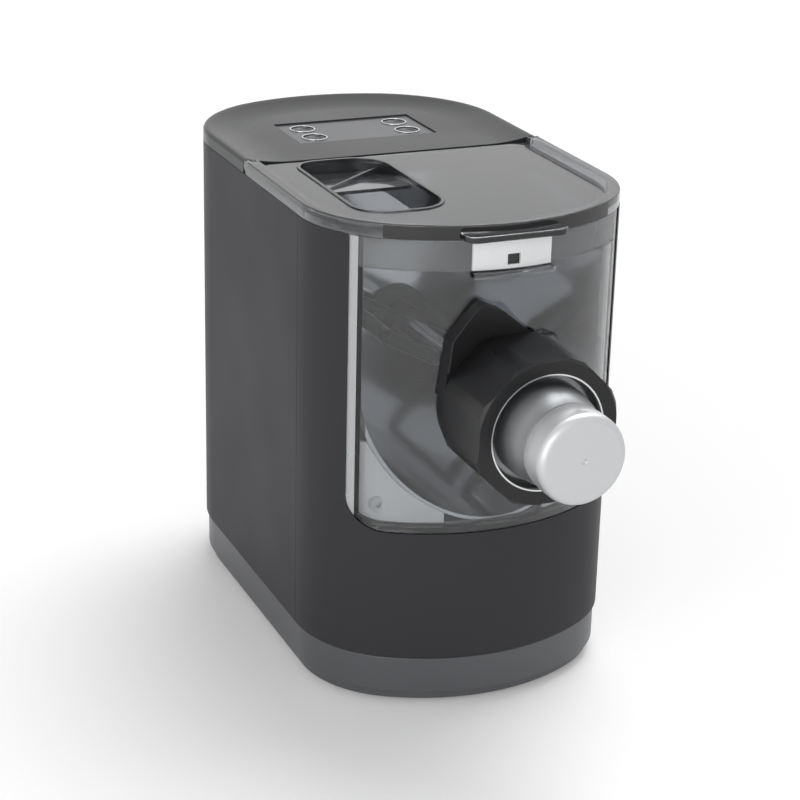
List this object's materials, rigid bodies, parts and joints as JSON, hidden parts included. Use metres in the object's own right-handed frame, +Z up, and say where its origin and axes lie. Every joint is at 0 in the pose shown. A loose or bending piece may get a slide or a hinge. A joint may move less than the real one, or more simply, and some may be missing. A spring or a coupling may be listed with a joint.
{
  "type": "electric pasta maker",
  "caption": "Upright electric pasta maker: tall round-ended body, hinged smoked lid with pour opening, clear lift-off front, mixing tub with auger, lock nut and capped shaping die.",
  "frame": {"origin": "centre of the bounding box in X and Y, on the table under the feet", "axes": "-Y is the front with the nozzle, +Z is up, +X is the user's right when facing the front"},
  "size_m": [0.1876, 0.3965, 0.285],
  "materials": {
    "graphite_shell": "satin graphite-coated ABS",
    "base_band_metal": "satin metallic grey",
    "chassis_plastic": "matt black moulding",
    "rubber": "matt",
    "steel": "bright",
    "cover_plastic": "satin grey",
    "panel_plastic": "smooth grey",
    "ring_metal": "polished",
    "button_plastic": "satin dark grey",
    "circuit_board": "solder mask green",
    "smoked_clear": "clear smoked, polished",
    "clear_plastic": "clear, polished",
    "latch_plastic": "pale translucent",
    "black_plastic": "satin black",
    "die_metal": "satin silver",
    "cap_metal": "satin silver",
    "tub_metal": "brushed",
    "pale_plastic": "pale",
    "auger_plastic": "off-white food-safe",
    "gear_nylon": "natural nylon",
    "gear_brass": "machined",
    "cast_case": "cast",
    "motor_steel": "plated",
    "copper_winding": "lacquered copper",
    "contact_metal": "plated"
  },
  "bodies": {
    "body": {"rear_shell": "graphite_shell", "front_shell": "graphite_shell", "base_band": "base_band_metal", "chassis": "chassis_plastic", "feet": "rubber", "base_screws": "steel", "top_cover": "cover_plastic", "control_panel": "panel_plastic", "button_rings": "ring_metal", "control_board": "circuit_board", "hinge_pins": "steel", "mixing_tub": "tub_metal", "tub_corners": "pale_plastic", "bulkhead": "chassis_plastic", "shaft_seal": "rubber", "gearbox_case": "cast_case", "gearbox_cover": "cast_case", "motor_can": "motor_steel", "motor_stator": "copper_winding", "power_board": "circuit_board", "board_parts": "black_plastic", "power_inlet": "black_plastic", "inlet_pins": "contact_metal", "lid_switch": "black_plastic"},
    "lid": {"lid": "smoked_clear", "pour_funnel": "smoked_clear"},
    "front_panel": {"front_panel": "clear_plastic", "latch_plate": "latch_plastic", "latch_catch": "black_plastic", "barrel": "black_plastic", "collar": "black_plastic"},
    "nozzle_set": {"shaping_die": "die_metal"},
    "lock_nut": {"lock_nut": "black_plastic", "nut_ring": "ring_metal"},
    "die_cap": {"die_cap": "cap_metal"},
    "mixer": {"drive_shaft": "steel", "mixing_paddle": "auger_plastic", "auger": "auger_plastic", "output_gear": "gear_nylon"},
    "idler": {"idler_gears": "gear_brass"},
    "motor_spindle": {"motor_rotor": "motor_steel", "motor_fan": "black_plastic"},
    "button_1": {"button_1": "button_plastic"},
    "button_2": {"button_2": "button_plastic"},
    "button_3": {"button_3": "button_plastic"},
    "button_4": {"button_4": "button_plastic"}
  },
  "joints": [
    {"name": "lid_hinge", "type": "hinge", "parent": "body", "child": "lid", "pos_m": [0, 0.05395, 0.2819], "axis": [-1, 0, 0], "range_deg": [0, 80]},
    {"name": "panel_slide", "type": "slide", "parent": "body", "child": "front_panel", "axis": [0, -1, 0], "range_m": [0, 0.12]},
    {"name": "nozzle_slide", "type": "slide", "parent": "front_panel", "child": "nozzle_set", "axis": [0, -1, 0], "range_m": [0, 0.05]},
    {"name": "nut_turn", "type": "hinge", "parent": "nozzle_set", "child": "lock_nut", "pos_m": [0, -0.15, 0.184], "axis": [0, -1, 0], "continuous": true},
    {"name": "cap_slide", "type": "slide", "parent": "nozzle_set", "child": "die_cap", "axis": [0, -1, 0], "range_m": [0, 0.035]},
    {"name": "mixer_spin", "type": "hinge", "parent": "body", "child": "mixer", "pos_m": [0, 0, 0.184], "axis": [0, 1, 0], "continuous": true},
    {"name": "idler_spin", "type": "hinge", "parent": "body", "child": "idler", "pos_m": [0, 0.07, 0.1315], "axis": [0, 1, 0], "continuous": true},
    {"name": "motor_spin", "type": "hinge", "parent": "body", "child": "motor_spindle", "pos_m": [0, 0.12, 0.0895], "axis": [0, 1, 0], "continuous": true},
    {"name": "button_1_press", "type": "slide", "parent": "body", "child": "button_1", "axis": [0, 0, -1], "range_m": [0, 0.001], "stiffness_N_per_m": 400},
    {"name": "button_2_press", "type": "slide", "parent": "body", "child": "button_2", "axis": [0, 0, -1], "range_m": [0, 0.001], "stiffness_N_per_m": 400},
    {"name": "button_3_press", "type": "slide", "parent": "body", "child": "button_3", "axis": [0, 0, -1], "range_m": [0, 0.001], "stiffness_N_per_m": 400},
    {"name": "button_4_press", "type": "slide", "parent": "body", "child": "button_4", "axis": [0, 0, -1], "range_m": [0, 0.001], "stiffness_N_per_m": 400}
  ],
  "couplings": [
    {"joint": "idler_spin", "follows": "mixer_spin", "ratio": -4},
    {"joint": "motor_spin", "follows": "mixer_spin", "ratio": 12}
  ]
}
